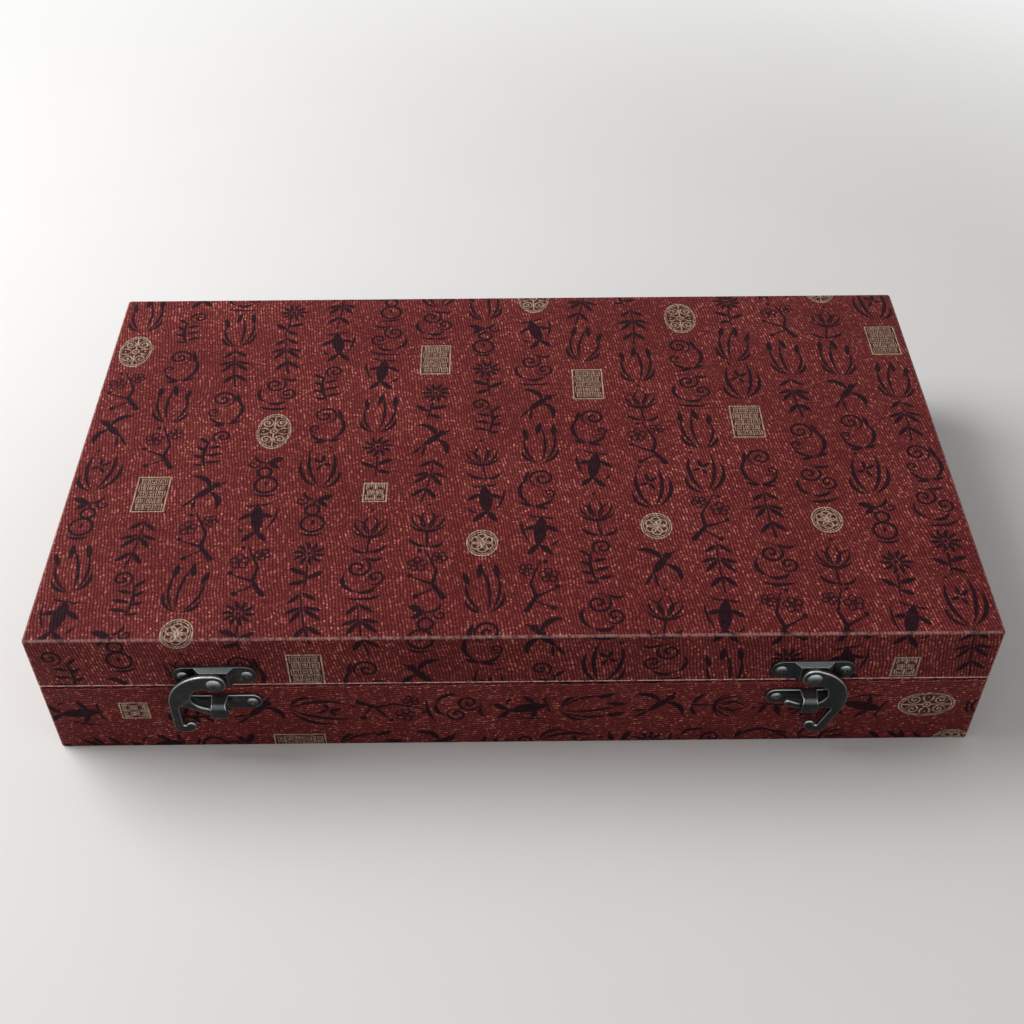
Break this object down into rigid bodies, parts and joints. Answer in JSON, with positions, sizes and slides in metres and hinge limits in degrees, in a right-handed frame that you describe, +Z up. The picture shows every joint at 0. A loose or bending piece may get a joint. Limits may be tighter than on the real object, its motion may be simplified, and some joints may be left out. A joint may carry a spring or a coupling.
{
  "type": "calligraphy set box",
  "caption": "Shallow brocade-covered box with a hinged lid, hook latches on its front and a satin-lined insert that holds calligraphy tools.",
  "frame": {"origin": "centre of the underside of the box, on the surface it stands on", "axes": "+X along the width, to the right as seen from the latches, +Y from the latches to the hinges, +Z up"},
  "size_m": [0.368, 0.2254, 0.066],
  "materials": {
    "brocade": "satin",
    "satin": "satin",
    "board": "matte",
    "underside_paper": "matte",
    "bronze": "satin",
    "inkstone": "matte",
    "ink_stick": "satin",
    "porcelain": "gloss",
    "bamboo": "satin",
    "horn": "gloss",
    "hair": "matte",
    "seal_stone": "polished",
    "seal_paste": "matte"
  },
  "bodies": {
    "base": {"base_floor_board": "board", "base_front_board": "board", "base_back_board": "board", "base_left_board": "board", "base_right_board": "board", "base_brocade": "brocade", "base_underside_paper": "underside_paper", "base_lining": "satin", "insert_bed": "satin", "insert_middle_strip": "satin", "insert_brush_end_strip": "satin", "insert_inkstone_strip": "satin", "insert_ink_stick_strip": "satin", "insert_brush_rest_strip": "satin", "insert_seal_strip": "satin", "insert_spoon_strip": "satin", "insert_seal_cross_strip": "satin", "brush_1_handle": "bamboo", "brush_2_handle": "bamboo", "brush_3_handle": "bamboo", "brush_4_handle": "bamboo", "brush_1_tuft": "hair", "brush_2_tuft": "hair", "brush_3_tuft": "hair", "brush_4_tuft": "hair", "brush_ferrules": "horn", "inkstone": "inkstone", "ink_sticks": "ink_stick", "brush_rest": "porcelain", "water_dish": "porcelain", "spoon": "porcelain", "seal_stones": "seal_stone", "seal_paste_dish": "porcelain", "seal_paste_lid": "porcelain", "seal_paste": "seal_paste", "left_keeper": "bronze", "right_keeper": "bronze", "keeper_screws": "bronze", "base_hinge_leaves": "bronze", "hinge_pins": "bronze", "base_hinge_screws": "bronze"},
    "lid": {"lid_top_board": "board", "lid_front_board": "board", "lid_back_board": "board", "lid_left_board": "board", "lid_right_board": "board", "lid_brocade": "brocade", "lid_lining": "satin", "lid_pad": "satin", "left_latch_plate": "bronze", "right_latch_plate": "bronze", "latch_rivets": "bronze", "latch_screws": "bronze", "lid_hinge_leaves": "bronze", "lid_hinge_screws": "bronze"},
    "hook_left": {"left_hook": "bronze"},
    "hook_right": {"right_hook": "bronze"}
  },
  "joints": [
    {"name": "lid_hinge", "type": "hinge", "parent": "base", "child": "lid", "pos_m": [0, 0.1092, 0.0382], "axis": [-1, 0, 0], "range_deg": [0, 180]},
    {"name": "left_latch_swing", "type": "hinge", "parent": "lid", "child": "hook_left", "pos_m": [-0.1144, -0.1114, 0.0456], "axis": [0, 1, 0], "range_deg": [-18, 120]},
    {"name": "right_latch_swing", "type": "hinge", "parent": "lid", "child": "hook_right", "pos_m": [0.1144, -0.1114, 0.0456], "axis": [0, -1, 0], "range_deg": [0, 142]}
  ]
}
